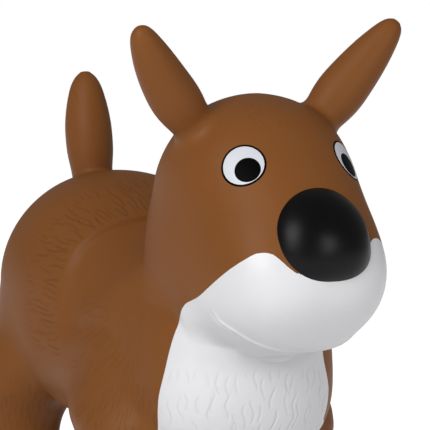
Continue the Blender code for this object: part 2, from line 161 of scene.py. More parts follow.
# Valve in the belly: place, radius and underside of its thick seat, and radius of its bore
VALVE_Y = 72
VALVE_RADIUS = 12
VALVE_LAND = 108.6
VALVE_BORE = 5.2
# Nose: half sizes, squareness above and below, tilt in radians, and how much it narrows upwards
NOSE_CENTRE = np.array((0, -245.2, 318.6))
NOSE_SIZE = (51.7, 37.1, 46.8)
NOSE_SQUARENESS = (2.1, 2.45)
NOSE_TILT = 0.17
NOSE_TAPER = 0.10
# Eyes: middle and direction of the left one, and its pupil's shift outwards and upwards
EYE_CENTRE = np.array((52.6, -194.0, 380.3))
EYE_NORMAL = np.array((0.56, -0.655, 0.506))
PUPIL_SHIFT = (-4.5, -5.0)
EYE_AROUND = 96
# Print layers of an eye, as height above the skin
RIM_PRINT, FIELD_PRINT, PUPIL_PRINT = 0.30, 0.42, 0.54
EYE_ROOT = -0.8

# The ways the moulded hair lies, the width of a stroke in its cell, how much wider than that the mesh is refined,
# and the least depth that is
RUMP, SHOULDER, FRONT_LEG, REAR_LEG, CROWN, CHEEK, BIB = range(1, 8)
STROKE_WIDTH = 0.17
BIB_STROKE_WIDTH = 0.115
STROKE_ROOM = 2.2
STROKE_SHOWS = 0.08

CUT_SNAP = 0.12
ISLAND_SIZE = 1000
SLOPE_STEP = 0.05
FORM_ROOM = 75
FAR_AWAY = 400.0

# Stage: places in metres, sizes in metres and powers in watts
STUDIO_LIGHT = 0.25
FLOOR_GLOW = 0.80
FLOOR_HALF = 30000.0
KEY_LAMP = ((-2.5, -1.55, 2.0), 1.8, 76.0)
FRONT_LAMP = ((0.24, -1.22, 0.58), 0.3, 2.4)
LAMP_AIM = (0, 0, 0.28)
CAMERA_TURN, CAMERA_TILT = math.radians(-30.0), math.radians(5.5)
CAMERA_DISTANCE, CAMERA_FAR = 3.9, 100.0
CAMERA_LENS, CAMERA_SENSOR = 326.0, 36.0
CAMERA_TARGET = (0, -0.045, 0.322)


def length_setting(name, text, size):
    """A setting for a length, given in millimetres."""
    return FloatProperty(name=name, description=text, default=size * MM, subtype="DISTANCE")


def colour_setting(name, text, *tone):
    """A setting for a colour, as shares of red, green and blue."""
    return FloatVectorProperty(name=name, description=text, default=tone, subtype="COLOR", size=3)


class DeerSizes(bpy.types.PropertyGroup):
    """Sizes of the moulded skin."""

    mesh_step: length_setting("Mesh step", "Spacing of the skin's vertices", 2.2)
    fur_depth: length_setting("Fur depth", "Depth of the moulded hair strokes", 0.6)
    eye_radius: length_setting("Eye radius", "Outer radius of the printed eye", 22.2)
    eye_rim: length_setting("Eye rim", "Width of the dark line round the eye", 2.0)
    pupil_radius: length_setting("Pupil radius", "Radius of the pupil", 12.9)


class DeerColours(bpy.types.PropertyGroup):
    """Colours of the paints and of the floor."""

    coat: colour_setting("Coat", "Brown of the skin", 0.210, 0.074, 0.0175)
    bib: colour_setting("Bib", "White of the muzzle and chest", 0.78, 0.78, 0.80)
    nose: colour_setting("Nose", "Black of the nose and pupils", 0.002, 0.002, 0.002)
    hoof: colour_setting("Hooves", "Dark brown of the hooves", 0.050, 0.024, 0.012)
    eye_white: colour_setting("Eye white", "White of the eyes", 0.66, 0.68, 0.73)
    stopper: colour_setting("Stopper", "Plastic of the stopper", 0.75, 0.75, 0.76)
    floor: colour_setting("Floor", "Pale floor", 0.80, 0.80, 0.80)


def sizes():
    """The size settings."""
    return bpy.context.scene.deer_sizes


def colours():
    """The colour settings."""
    return bpy.context.scene.deer_colours


def domed(rows, low, high):
    """Rows with a quarter-ellipse end added below and above: reach times sine of an angle, radii times cosine."""
    rows = np.array(rows, float)
    turn = np.radians((25.0, 45.0, 62.0, 77.0, 90.0))

    def end(row, reach):
        made = np.repeat(row[None], len(turn), 0)
        made[:, 0] += reach * np.sin(turn)
        made[:, 3:6] *= np.cos(turn)[:, None]
        return made

    return np.vstack([end(rows[0], -low)[::-1], rows, end(rows[-1], high)])


def smooth_rows(rows, steps=40):
    """The rows read along a uniform cubic B-spline that ends on the first and last row."""
    padded = np.vstack([2 * rows[0] - rows[1], rows, 2 * rows[-1] - rows[-2]])
    place = np.linspace(0, len(rows) - 1, (len(rows) - 1) * steps + 1)
    first = np.minimum(place.astype(int), len(rows) - 2)
    t = (place - first)[:, None]
    a, b, c, d = (padded[first + k] for k in range(4))
    return ((1 - t) ** 3 * a + (3 * t**3 - 6 * t**2 + 4) * b + (3 * t + 3 * t**2 - 3 * t**3 + 1) * c
            + t**3 * d) / 6


def form_grid(form, around=72, every=6):
    """The form's surface as a grid: section angle one way, place on the axis the other, poles closed."""
    line = form["line"][::every]
    angle = np.linspace(0, 2 * math.pi, around, endpoint=False)
    c, s = np.cos(angle)[None], np.sin(angle)[None]
    power = 2 / np.where(s > 0, line[:, 6:7], line[:, 7:8])
    across = np.sign(c) * np.abs(c) ** power * line[:, 3:4] + line[:, 1:2]
    ahead = np.sign(s) * np.abs(s) ** power * np.where(s > 0, line[:, 4:5], line[:, 5:6]) + line[:, 2:3]
    local = np.stack([across, ahead, np.repeat(line[:, 0:1], around, 1)], -1).reshape(-1, 3)
    return local @ form["turn"] + form["origin"], grid_faces(len(line), around)


def grid_faces(rows, around):
    """Quads of a grid that is closed round its second direction."""
    i, j = np.meshgrid(np.arange(rows - 1), np.arange(around), indexing="ij")
    after = (j + 1) % around
    faces = np.stack([i * around + j, i * around + after, (i + 1) * around + after, (i + 1) * around + j], -1)
    return faces.reshape(-1, 4)


def make_form(rows, low, high, origin=(0, 0, 0), turn=LEVEL):
    """A swelling round one axis. Rows: place on the axis, offsets right and ahead, half width, reach ahead
    and back, squareness ahead and back. Kept as area and ratio columns, which stay smooth at the poles."""
    line = smooth_rows(domed(rows, low, high))
    place, right, ahead, wide, front, back, square_front, square_back = line.T
    wide = np.maximum(wide, 1e-6)
    front, back = np.maximum(front, 1e-6), np.maximum(back, 1e-6)
    columns = [right, ahead, wide * front, wide * back, front / wide, back / wide, square_front, square_back]
    columns[4][-1], columns[5][-1] = columns[4][-2], columns[5][-2]
    columns[4][0], columns[5][0] = columns[4][1], columns[5][1]
    beyond = 60.0
    ends = []
    for index, column in enumerate(columns):
        before, after = column[0], column[-1]
        if index in (2, 3):
            before = -(column[3] - column[0]) / (place[3] - place[0]) * beyond
            after = (column[-1] - column[-4]) / (place[-1] - place[-4]) * beyond
        ends.append(np.concatenate([[before], column, [after]]))
    place_wide = np.concatenate([[place[0] - beyond], place, [place[-1] + beyond]])
    form = {"line": line, "place": place_wide, "columns": ends, "origin": np.array(origin, float), "turn": turn}
    grid = form_grid(form)[0]
    form["low"], form["high"] = grid.min(0) - FORM_ROOM, grid.max(0) + FORM_ROOM
    return form


def stem_turn(root, tip):
    """Right, ahead and along directions of a form that stands on a slanted stem."""
    along = (tip - root) / np.linalg.norm(tip - root)
    side = np.cross(along, (0.0, 1.0, 0.0)) if abs(along[0]) > abs(along[1]) else np.cross(along, (1.0, 0, 0))
    right = side / np.linalg.norm(side)
    return np.array([right, np.cross(right, along), along])


def leg_rows(foot, ankle, thigh):
    """Rows of one leg from its sole into the body."""
    rows = [(z, foot[0], -foot[1], r, r, r, 2, 2) for z, r in HOOF + ankle]
    return rows + [(z, x, -y, r, r, back, 2, 2) for z, x, y, r, back in thigh]


def stem_rows(root, tip, table, flat, bow):
    """Rows of an ear or the tail, measured along its stem, which bows most at the middle of its length."""
    length = np.linalg.norm(tip - root)
    turn = stem_turn(root, tip)
    bend = [math.sin(math.pi * min(1.0, back / length)) for back, r in table]
    return [(length - back, k * (turn[0] @ bow), k * (turn[1] @ bow), r, r * flat, r * flat, 2, 2)
            for (back, r), k in zip(table, bend)]


FORMS = {
    "body": make_form([(y, 0, z, w, up, down, a, b) for y, z, w, up, down, a, b in BODY], 50, 4, turn=ACROSS),
    "neck": make_form([(z, 0, -y, w, f, b, n, n) for z, y, w, f, b, n in NECK], 8, 50),
    "head": make_form([(z, 0, -y, w, f, b, n, n) for z, y, w, f, b, n in HEAD], 15, 0.3),
    "leg_front": make_form(leg_rows(FOOT_FRONT, ANKLE_FRONT, THIGH_FRONT), 2, 30),
    "leg_rear": make_form(leg_rows(FOOT_REAR, ANKLE_REAR, THIGH_REAR), 2, 45),
    "ear": make_form(stem_rows(EAR_ROOT, EAR_TIP, EAR, EAR_FLATNESS, EAR_BOW), 18, 1.2, EAR_ROOT,
                     stem_turn(EAR_ROOT, EAR_TIP)),
    "tail": make_form(stem_rows(TAIL_ROOT, TAIL_TIP, TAIL, 1.0, TAIL_BOW), 20, 1.6, TAIL_ROOT,
                      stem_turn(TAIL_ROOT, TAIL_TIP)),
}


def form_value(form, points):
    """How far outside the form a point is, as an area: its stretched distance squared, less that of the wall."""
    local = (points - form["origin"]) @ form["turn"].T
    right, ahead, area_a, area_b, ratio_a, ratio_b, square_a, square_b = (
        np.interp(local[:, 2], form["place"], column) for column in form["columns"])
    x = np.abs(local[:, 0] - right) + 1e-6
    y = local[:, 1] - ahead
    front = y > 0
    n = np.where(front, square_a, square_b)
    ratio = np.where(front, ratio_a, ratio_b)
    stretched = (x**n + ((np.abs(y) + 1e-6) / ratio) ** n) ** (2 / n)
    return stretched - np.where(front, area_a, area_b) / ratio


def form_distance(form, points):
    """Distance to the form's wall, negative inside, and the outward direction: the value over its slope."""
    value = form_value(form, points)
    slope = np.stack(
        [(form_value(form, points + shift) - value) / SLOPE_STEP for shift in SLOPE_STEP * np.eye(3)], -1)
    size = np.linalg.norm(slope, axis=1) + 1e-9
    return value / size, slope / size[:, None]


def merged(one, two, reach):
    """Smooth union: where two walls come within the reach of each other, a fillet fills the corner."""
    (d1, n1), (d2, n2) = one, two
    share = np.clip(0.5 + 0.5 * (d2 - d1) / reach, 0, 1)
    distance = d2 * (1 - share) + d1 * share - reach * share * (1 - share)
    return distance, n2 * (1 - share)[:, None] + n1 * share[:, None]


def ramp(value, low, high):
    """A smooth step from 0 at low to 1 at high."""
    t = np.clip((value - low) / (high - low), 0, 1)
    return t * t * (3 - 2 * t)


def reach_of(form, points):
    """Distance and direction near a form, and a plain large distance far from it."""
    close = np.nonzero(((points > form["low"]) & (points < form["high"])).all(1))[0]
    distance, slope = np.full(len(points), FAR_AWAY), np.zeros_like(points)
    distance[close], slope[close] = form_distance(form, points[close])
    return distance, slope


def behind_rim(points):
    """How far behind the seat's rear rim a point is."""
    return points[:, 1] - np.interp(points[:, 2], *SEAT_RIM)


def seat_depth(points):
    """Depth of the seat in the barrel: a crisp step at its rear rim and a soft slope at its front line."""
    above = 0.75 * (points[:, 2] - np.interp(points[:, 1], *SEAT_FRONT))
    width = 1 + 2.2 * (1 - ramp(points[:, 2], 235, 300))
    step = ramp(-behind_rim(points) / width, -2.5, 4.5)
    return SEAT_DEPTH * step * ramp(above, -12, 26) * ramp(points[:, 2], 180, 230)


def lip_distance(points):
    """Distance and direction to the lower lip, an egg under the muzzle: the stretched radius less one."""
    away = (points - LIP_CENTRE) / LIP_SIZE
    radius = np.linalg.norm(away, axis=1) + 1e-6
    slope = away / LIP_SIZE / radius[:, None]
    size = np.linalg.norm(slope, axis=1)
    return (radius - 1) / size, slope / size[:, None]


def left_half(points):
    """The points with those of the right half mirrored onto the left."""
    return np.abs(points * (1, 0, 0)) + points * (0, 1, 1)


def skin_field(points):
    """Distance and direction to the whole skin, and the distance to each form in it."""
    side = np.where(points[:, :1] < 0, -1.0, 1.0) * (1, 0, 0) + (0, 1, 1)
    half = points * side
    x, y, z = half.T
    near = {name: reach_of(form, half) for name, form in FORMS.items()}
    near["body"] = (near["body"][0] + seat_depth(half), near["body"][1])
    belly = ramp(y, -55, 5) * (1 - ramp(z, 190, 240))
    haunch = ramp(y, 215, 250)
    nape = ramp(y, -140, -70) * ramp(z, 225, 250)
    jaw = ramp(x, 20, 62) * ramp(-y, 112, 140) * ramp(z, 190, 236)
    skin = merged(near["body"], near["neck"], NECK_FILLET)
    skin = merged(skin, near["leg_front"], LEG_FRONT_FILLET + BELLY_FILLET * belly)
    skin = merged(skin, near["leg_rear"], LEG_REAR_FILLET + HAUNCH_FILLET * haunch)
    skin = merged(skin, near["head"], THROAT_FILLET + NAPE_FILLET * nape + JAW_FILLET * jaw)
    skin = merged(skin, lip_distance(half), LIP_FILLET)
    skin = merged(skin, near["ear"], EAR_FILLET)
    skin = merged(skin, near["tail"], TAIL_FILLET)
    distance, slope = skin
    slope = slope / (np.linalg.norm(slope, axis=1) + 1e-9)[:, None]
    return distance, slope * side, {name: value[0] for name, value in near.items()}


def placed(name, data):
    """An object in the scene for a mesh, a light or a camera."""
    item = bpy.data.objects.new(name, data)
    bpy.context.scene.collection.objects.link(item)
    return item


def mesh_object(name, points, faces):
    """A mesh object from points in millimetres."""
    mesh = bpy.data.meshes.new(name)
    mesh.from_pydata((np.asarray(points) * MM).tolist(), [], np.asarray(faces).tolist())
    return placed(name, mesh)


def read_mesh(item):
    """Points in millimetres and triangles of an object's finished mesh."""
    mesh = item.evaluated_get(bpy.context.evaluated_depsgraph_get()).to_mesh()
    mesh.calc_loop_triangles()
    points = np.empty(len(mesh.vertices) * 3)
    mesh.vertices.foreach_get("co", points)
    corners = np.empty(len(mesh.loop_triangles) * 3, int)
    mesh.loop_triangles.foreach_get("vertices", corners)
    item.to_mesh_clear()
    return points.reshape(-1, 3) / MM, corners.reshape(-1, 3)


def edges_of(faces):
    """Each edge once, low vertex first."""
    pairs = np.sort(faces[:, [0, 1, 1, 2, 2, 0]].reshape(-1, 2), 1)
    return np.unique(pairs, axis=0)


def neighbour_mean(points, edges):
    """Mean of each vertex's neighbours."""
    count = np.bincount(edges.ravel(), minlength=len(points))
    total = np.stack([
        np.bincount(edges[:, 0], points[edges[:, 1], k], len(points))
        + np.bincount(edges[:, 1], points[edges[:, 0], k], len(points)) for k in range(3)], -1)
    return total / count[:, None]


def skin_mesh(step):
    """The whole skin: all forms fused at an even mesh step, then drawn onto the smooth union."""
    points, faces, base = [], [], 0
    for name, form in FORMS.items():
        for mirror in ((1, -1) if name in ("leg_front", "leg_rear", "ear") else (1,)):
            grid, quads = form_grid(form)
            points.append(grid * (mirror, 1, 1))
            faces.append((quads if mirror * np.linalg.det(form["turn"]) < 0 else quads[:, ::-1]) + base)
            base += len(grid)
    item = mesh_object("skin_forms", np.vstack(points), np.vstack(faces))
    fuse = item.modifiers.new("fuse", "REMESH")
    fuse.mode = "VOXEL"
    fuse.voxel_size = step * MM
    points, faces = read_mesh(item)
    bpy.data.objects.remove(item)
    edges = edges_of(faces)
    for turn in range(6):
        if turn < 4:
            points += 0.6 * (neighbour_mean(points, edges) - points)
        distance, slope, _ = skin_field(points)
        points -= np.clip(distance, -6, 6)[:, None] * slope
    return points + moulded_detail(points)[:, None] * slope, faces


def line_distance(points, line):
    """Distance from each point to a line of straight stretches, given by its corners."""
    line = np.array(line, float)
    start, stem = line[:-1], np.diff(line, axis=0)
    share = np.clip(((points[:, None] - start) * stem).sum(-1) / (stem**2).sum(-1), 0, 1)
    return np.linalg.norm(points[:, None] - start - share[..., None] * stem, axis=-1).min(1)


def line_on_skin(corners, size=61):
    """A line through the corners, slid onto the skin."""
    place = np.linspace(0, len(corners) - 1, size)
    line = np.stack([np.interp(place, np.arange(len(corners)), column) for column in np.array(corners).T], -1)
    for _ in range(8):
        distance, slope, _ = skin_field(line)
        line -= distance[:, None] * slope
    return line


def moulded_detail(points):
    """Height of the small shapes on the skin: along the muzzle's lower edge a bell-shaped roll over a shallower
    groove, and a cleft in the front of every hoof."""
    half = left_half(points)
    height = np.zeros(len(points))
    roll = line_on_skin(MUZZLE_ROLL)
    chin = np.nonzero((half[:, 1] < -150) & (half[:, 2] > 190) & (half[:, 2] < 256))[0]
    x, _, z = half[chin].T
    over = np.where(z > np.interp(x, roll[:, 0], roll[:, 2]), 1.0, -1.0)
    offset = over * line_distance(half[chin], roll) / ROLL_WIDTH
    bell = np.exp(-(offset**2)) - ROLL_GROOVE * np.exp(-((offset + ROLL_GROOVE_PLACE) ** 2))
    height[chin] = ROLL_HEIGHT * bell * (1 - ramp(z, 234, 250))
    x, y, z = half.T
    for foot in (FOOT_FRONT, FOOT_REAR):
        ahead = ramp(foot[1] - y, 20, 34) * ramp(60 - np.abs(foot[1] - y), 0, 5)
        groove = np.exp(-(((x - foot[0]) / CLEFT_WIDTH) ** 2)) * (1 - ramp(z, 30, 43))
        height -= CLEFT_DEPTH * groove * ahead * (z < HOOF_LINE)
    return height


def cut(points, faces, value):
    """Split each triangle that the value's zero line crosses, so that the line runs along edges."""
    value = np.where(np.abs(value) < CUT_SNAP, 0.0, value)
    edges = edges_of(faces)
    crossing = edges[value[edges[:, 0]] * value[edges[:, 1]] < 0]
    a, b = value[crossing[:, 0]], value[crossing[:, 1]]
    share = (a / (a - b))[:, None]
    added = points[crossing[:, 0]] * (1 - share) + points[crossing[:, 1]] * share
    return np.vstack([points, added]), divide(faces, crossing, len(points))[0]


def divide(faces, edges, size):
    """Triangles once every listed edge has a middle vertex, numbered on from size, and which one each was in."""
    key = edges[:, 0] * size + edges[:, 1]
    corner = np.sort(np.stack([faces, np.roll(faces, -1, 1)], -1), -1)
    wanted = corner[..., 0] * size + corner[..., 1]
    found = np.minimum(np.searchsorted(key, wanted), len(key) - 1)
    split = key[found] == wanted
    middle = np.where(split, found + size, -1)
    count = split.sum(1)
    patterns = {0: ("012",), 1: ("032", "312"), 2: ("035", "312", "325"), 3: ("035", "314", "542", "345")}
    made, parent = [], []
    for number, pattern in patterns.items():
        rows = np.nonzero(count == number)[0]
        start = (np.argmin(split[rows], 1) + 2) % 3 if number == 2 else np.argmax(split[rows], 1)
        order = (start[:, None] + np.arange(3)) % 3
        six = np.hstack([np.take_along_axis(faces[rows], order, 1), np.take_along_axis(middle[rows], order, 1)])
        for corners in pattern:
            made.append(six[:, [int(c) for c in corners]])
            parent.append(rows)
    return np.vstack(made), np.concatenate(parent)


def vertex_normals(points, faces):
    """Unit normal of each vertex: the sum of its triangles' area normals."""
    a, b, c = (points[faces[:, k]] for k in range(3))
    area = np.cross(b - a, c - a)
    total = np.zeros_like(points)
    for k in range(3):
        for axis in range(3):
            total[:, axis] += np.bincount(faces[:, k], area[:, axis], len(points))
    return total / (np.linalg.norm(total, axis=1) + 1e-12)[:, None]


def border_edges(faces):
    """Edges of only one triangle, in the triangle's direction."""
    directed = faces[:, [0, 1, 1, 2, 2, 0]].reshape(-1, 2)
    low = np.sort(directed, 1)
    _, index, count = np.unique(low, axis=0, return_index=True, return_counts=True)
    return directed[index[count == 1]]


def lids(points, faces, normals):
    """Inner faces that close a piece: every open edge turns inwards by the lid's depth, and from there each loop
    is drawn together to one point deep inside the toy. A loop's vertices share the lowest number among them."""
    rim = border_edges(faces)
    group, before = np.arange(len(points)), None
    while before is None or (group != before).any():
        before = group.copy()
        low = np.minimum(group[rim[:, 0]], group[rim[:, 1]])
        np.minimum.at(group, rim[:, 0], low)
        np.minimum.at(group, rim[:, 1], low)
        group = group[group]
    border = np.unique(rim)
    turned = points[border] - LID_DEPTH * normals[border]
    loops, index = np.unique(group[border], return_inverse=True)
    count = np.bincount(index)
    middle = np.stack([np.bincount(index, turned[:, k]) / count for k in range(3)], -1)
    below = np.full(len(points), -1)
    below[border] = len(points) + np.arange(len(border))
    deep = len(points) + len(border) + np.searchsorted(loops, group[rim[:, 0]])
    a, b = rim.T
    made = [(b, a, below[a]), (b, below[a], below[b]), (below[b], below[a], deep)]
    return np.vstack([turned, middle]), np.vstack([np.stack(corners, 1) for corners in made])


def paint_line():
    """The closed paint border: a smooth line through its points, by cubic stretches, then its straight sides."""
    corners = np.array(PAINT + PAINT_CLOSE, float)
    before, after, last = np.roll(corners, 1, 0), np.roll(corners, -1, 0), np.roll(corners, -2, 0)
    t = np.linspace(0, 1, 9, endpoint=False)[None, :, None]
    p0, p1, p2, p3 = (q[:, None] for q in (before, corners, after, last))
    line = 0.5 * (2 * p1 + (p2 - p0) * t + (2 * p0 - 5 * p1 + 4 * p2 - p3) * t**2
                  + (3 * p1 - p0 - 3 * p2 + p3) * t**3)
    return np.vstack([line[: len(PAINT) - 1].reshape(-1, 2), corners[len(PAINT) - 1:]])


def paint_value(points):
    """Signed distance in side view to the paint border, positive in the white: the nearest point of the line, and
    inside where a ray backwards crosses it an odd number of times."""
    line = paint_line()
    ends = np.roll(line, -1, 0)
    closed = np.vstack([line, line[:1]])
    value = np.full(len(points), -PAINT_FAR)
    x, y, z = points.T
    rows = np.nonzero((y < -60) & (z < 330))[0]
    drift = PAINT_DRIFT * ramp(x, 20, 66) * (1 - ramp(z, 200, 228)) * ramp(z, 98, 124)
    lift = PAINT_LIFT * ramp(x, 20, 60) * ramp(-y, 190, 225)
    moved = np.stack([y + drift, z - lift], -1)
    for part in np.array_split(rows, max(1, len(rows) // 8000)):
        gap = line_distance(moved[part], closed)
        y, z = moved[part].T[..., None]
        rises = (line[:, 1] > z) != (ends[:, 1] > z)
        slant = line[:, 0] + (z - line[:, 1]) * (ends[:, 0] - line[:, 0]) / (ends[:, 1] - line[:, 1] + 1e-9)
        inside = (rises & (y < slant)).sum(1) % 2 == 1
        value[part] = np.where(inside, gap, -gap)
    return value


def fur_zones(points, near, paint):
    """Which lie of hair each point has, and how deep it is moulded there. Each ramp's two numbers are the
    millimetres between which the zone fades in or out."""
    half = left_half(points)
    x, y, z = half.T
    front = np.minimum(near["head"], near["neck"])
    behind = behind_rim(half)
    brown = ramp(-paint, 0.5, 5)
    depth = np.zeros(len(points))
    zone = np.zeros(len(points), int)

    def lay(number, amount):
        deeper = amount > depth
        depth[deeper], zone[deeper] = amount[deeper], number

    rump = ramp(behind, 1, 8) * (1 - ramp(behind, 44, 70)) * ramp(z, 150, 190) * ramp(front - near["body"], -2, 4)
    lay(RUMP, 0.9 * rump * brown)
    shoulder = ramp(y, -82, -66) * (1 - ramp(y, 34, 54)) * ramp(z, 150, 170) * (1 - ramp(z, 226, 250))
    lay(SHOULDER, 0.5 * shoulder * ramp(-behind, 6, 14) * brown)
    for number, foot, top in ((FRONT_LEG, FOOT_FRONT, 162), (REAR_LEG, FOOT_REAR, 138)):
        reach = np.hypot(x - foot[0], y - foot[1])
        leg = ramp(z, 50, 60) * (1 - ramp(z, top - 18, top + 12)) * (1 - ramp(reach, 68, 86))
        lay(number, 0.65 * leg * ramp(near["body"], -30, -6) * brown)
    lay(CROWN, 0.35 * ramp(z, 412, 426) * (1 - ramp(x, 30, 44)))
    lay(CHEEK, 0.28 * ramp(y, -104, -90) * ramp(z, 262, 280) * (1 - ramp(z, 325, 345)) * ramp(near["body"], 8, 20))
    lay(BIB, 1.35 * (1 - ramp(z, 170, 187)) * ramp(-y, 86, 94) * ramp(paint, 1, 7))
    return zone, depth


def fur_cells(points, zone):
    """Place across and along the hair, counted in stroke cells: hair lies behind the seat's rim at right angles
    to it, falls down the legs and the bib, fans out from the neck on the shoulder, and runs over the crown."""
    half = left_half(points)
    x, y, z = half.T
    lies = {
        RUMP: (np.arctan2(x, z - 215) * 112 / 6.0, behind_rim(half) / 38.0),
        SHOULDER: (np.arctan2(y + 95, 275 - z) * 20, np.hypot(y + 95, z - 275) / 30.0),
        FRONT_LEG: (np.arctan2(y - FOOT_FRONT[1], x - FOOT_FRONT[0]) * 46 / 4.6, z / 24.0),
        REAR_LEG: (np.arctan2(y - FOOT_REAR[1], x - FOOT_REAR[0]) * 46 / 4.6, z / 24.0),
        CROWN: (x / 5.0, np.arctan2(y + 124, z - 330) * 8),
        CHEEK: (z / 5.2, y / 12.0),
        BIB: (np.arctan2(points[:, 0], -(y + 60)) * 96 / 8.6, z / 31.0),
    }
    across, along = np.zeros(len(points)), np.zeros(len(points))
    for number, (one, other) in lies.items():
        chosen = zone == number
        across[chosen], along[chosen] = one[chosen], other[chosen]
    return across, along


def chance(column, row, number):
    """A fixed scatter of values from 0 to 1: the broken part of a steep sine of the cell's place."""
    return np.modf(np.abs(np.sin(column * 12.9898 + row * 78.233 + number * 37.719)) * 4375.8545)[0]


def hair_strokes(across, along, width):
    """Depth of the moulded hair: each cell holds one groove, with its own place, length, lean and sway, whose
    section is a bell curve."""
    deepest = np.zeros(len(across))
    for step_across in (-1, 0, 1):
        for step_along in (-1, 0, 1):
            column, row = np.floor(across) + step_across, np.floor(along) + step_along
            a, b, c, d = (chance(column, row, number) for number in range(4))
            aside = across - column - 0.5 - 0.7 * (a - 0.5)
            beyond = along - row - 0.5 - 0.8 * (b - 0.5)
            aside = aside - 0.7 * (d - 0.5) * beyond - 0.2 * np.sin(beyond * (5 + 4 * c) + 6 * a)
            length = 0.32 + 0.30 * c
            groove = np.exp(-((aside / width) ** 2)) * (1 - ramp(np.abs(beyond), 0.5 * length, length))
            deepest = np.maximum(deepest, groove * (0.55 + 0.45 * d))
    return deepest


def stroke_width(zone):
    """Width of a stroke's bell as a share of its cell."""
    return np.where(zone == BIB, BIB_STROKE_WIDTH, STROKE_WIDTH)


def carve_hair(points, faces, label, near, paint):
    """Halve the edges on and round the hair strokes, then sink the strokes along the surface's normals."""
    zone, depth = fur_zones(points, near, paint)
    shown = depth * hair_strokes(*fur_cells(points, zone), STROKE_ROOM * stroke_width(zone))
    haired = (shown[faces] > STROKE_SHOWS).any(1)
    edges = edges_of(faces[haired])
    strong = np.where(depth[edges[:, 0]] > depth[edges[:, 1]], edges[:, 0], edges[:, 1])
    size = len(points)
    faces, parent = divide(faces, edges, size)
    points = np.vstack([points, points[edges].mean(1)])
    zone = np.concatenate([zone, zone[strong]])
    depth = np.concatenate([depth, depth[edges].mean(1)])
    normals = vertex_normals(points, faces)
    across, along = fur_cells(points, zone)
    groove = depth * hair_strokes(across, along, stroke_width(zone)) * (depth > 0)
    points = points - normals * (groove * sizes().fur_depth / MM)[:, None]
    return points, faces, label[parent], groove


def add_node(tree, kind, inputs, **settings):
    """Add a node and give each named or numbered input a plain value or a wire from another node's output."""
    made = tree.nodes.new("ShaderNode" + kind)
    for name, value in settings.items():
        setattr(made, name, value)
    for name, value in inputs.items():
        if isinstance(value, bpy.types.NodeSocket):
            tree.links.new(value, made.inputs[name])
        else:
            made.inputs[name].default_value = value
    return made


def vinyl(name, colour, rough, bump=0.05, grain=1.0, specular=0.3, hair=0.0):
    """A soft vinyl paint: a faint mottle of colour and gloss, a fine orange-peel skin, and painted shade in the
    moulded hair grooves.
    """
    made, tree, shader = plain_paint(name, specular)
    where = add_node(tree, "TexCoord", {}).outputs["Object"]
    mottle = add_node(tree, "TexNoise", {"Vector": where, "Scale": 14.0, "Detail": 3.0}).outputs["Fac"]
    darkest, palest = (*[c * 0.94 for c in colour], 1), (*[min(1.0, c * 1.06) for c in colour], 1)
    tint = {"Factor": mottle, "A": darkest, "B": palest}
    shade = add_node(tree, "Mix", tint, data_type="RGBA").outputs["Result"]
    # Painted shade: where the stored groove depth is high, the colour is multiplied down by the hair amount, as if
    # shade lay in the grooves.
    if hair:
        groove = add_node(tree, "Attribute", {}, attribute_name="hair").outputs["Fac"]
        painted_groove_shade = {"Factor": groove, "A": shade, "B": (1 - hair, 1 - hair, 1 - hair, 1)}
        shade = add_node(tree, "Mix", painted_groove_shade, data_type="RGBA", blend_type="MULTIPLY").outputs["Result"]
    gloss = {"Value": mottle, "From Min": 0.2, "From Max": 0.8, "To Min": rough - 0.05, "To Max": rough + 0.05}
    gloss = add_node(tree, "MapRange", gloss, interpolation_type="SMOOTHSTEP").outputs["Result"]
    peel = add_node(tree, "TexNoise", {"Vector": where, "Scale": 420.0 * grain, "Detail": 2.0}).outputs["Fac"]
    relief = add_node(tree, "Bump", {"Strength": bump, "Distance": 0.001, "Height": peel}).outputs["Normal"]
    for socket, value in (("Base Color", shade), ("Roughness", gloss), ("Normal", relief)):
        tree.links.new(value, shader.inputs[socket])
    made.diffuse_color = (*colour, 1)
    return made


def plain_paint(name, specular):
    """A new material with its node tree and its shader."""
    made = bpy.data.materials.new(name)
    made.use_nodes = True
    shader = made.node_tree.nodes["Principled BSDF"]
    shader.inputs["Specular IOR Level"].default_value = specular
    return made, made.node_tree, shader


def skin_labels(points, faces):
    """Which piece each triangle belongs to, from its middle."""
    middle = points[faces].mean(1)
    _, _, near = skin_field(middle)
    side = np.where(middle[:, 0] < 0, "right", "left")
    trunk = near["body"]
    front = np.minimum(near["head"], near["neck"])
    label = np.where(front < trunk, "head", "trunk").astype("U24")
    label[(label == "head") & (paint_value(middle) > 0)] = "bib"
    for leg in ("leg_front", "leg_rear"):
        is_leg = near[leg] < np.minimum(trunk, front)
        label[is_leg] = np.char.add(leg + "_", side[is_leg])
        is_hoof = is_leg & (middle[:, 2] < HOOF_LINE)
        label[is_hoof] = np.char.add(leg.replace("leg", "hoof") + "_", side[is_hoof])
    label[ear_value(middle) > 0] = "ear"
    is_ear = label == "ear"
    label[is_ear] = np.char.add("ear_", side[is_ear])
    label[tail_value(middle) > 0] = "tail"
    label[valve_value(middle) < 0] = "valve"
    return label


def join_islands(faces, label):
    """Give every small island but the valve's to the piece beside it. Triangles that share an edge and a label form a
    group, which goes by the lowest triangle number in it."""
    edges = np.sort(faces[:, [0, 1, 1, 2, 2, 0]].reshape(-1, 2), 1)
    one, two = (np.lexsort(edges.T) // 3).reshape(-1, 2).T
    same = label[one] == label[two]
    group, before = np.arange(len(faces)), None
    while before is None or (group != before).any():
        before = group.copy()
        low = np.minimum(group[one[same]], group[two[same]])
        np.minimum.at(group, one[same], low)
        np.minimum.at(group, two[same], low)
        group = group[group]
    small = (np.bincount(group)[group] < ISLAND_SIZE) & (label != "valve")
    while small.any():
        inside, beside = np.hstack([(one, two), (two, one)])
        shore = small[inside] & ~small[beside]
        taker = np.full(len(faces), -1)
        taker[group[inside[shore]]] = beside[shore]
        taken = small & (taker[group] >= 0)
        label[taken] = label[taker[group[taken]]]
        small &= ~taken
    return label


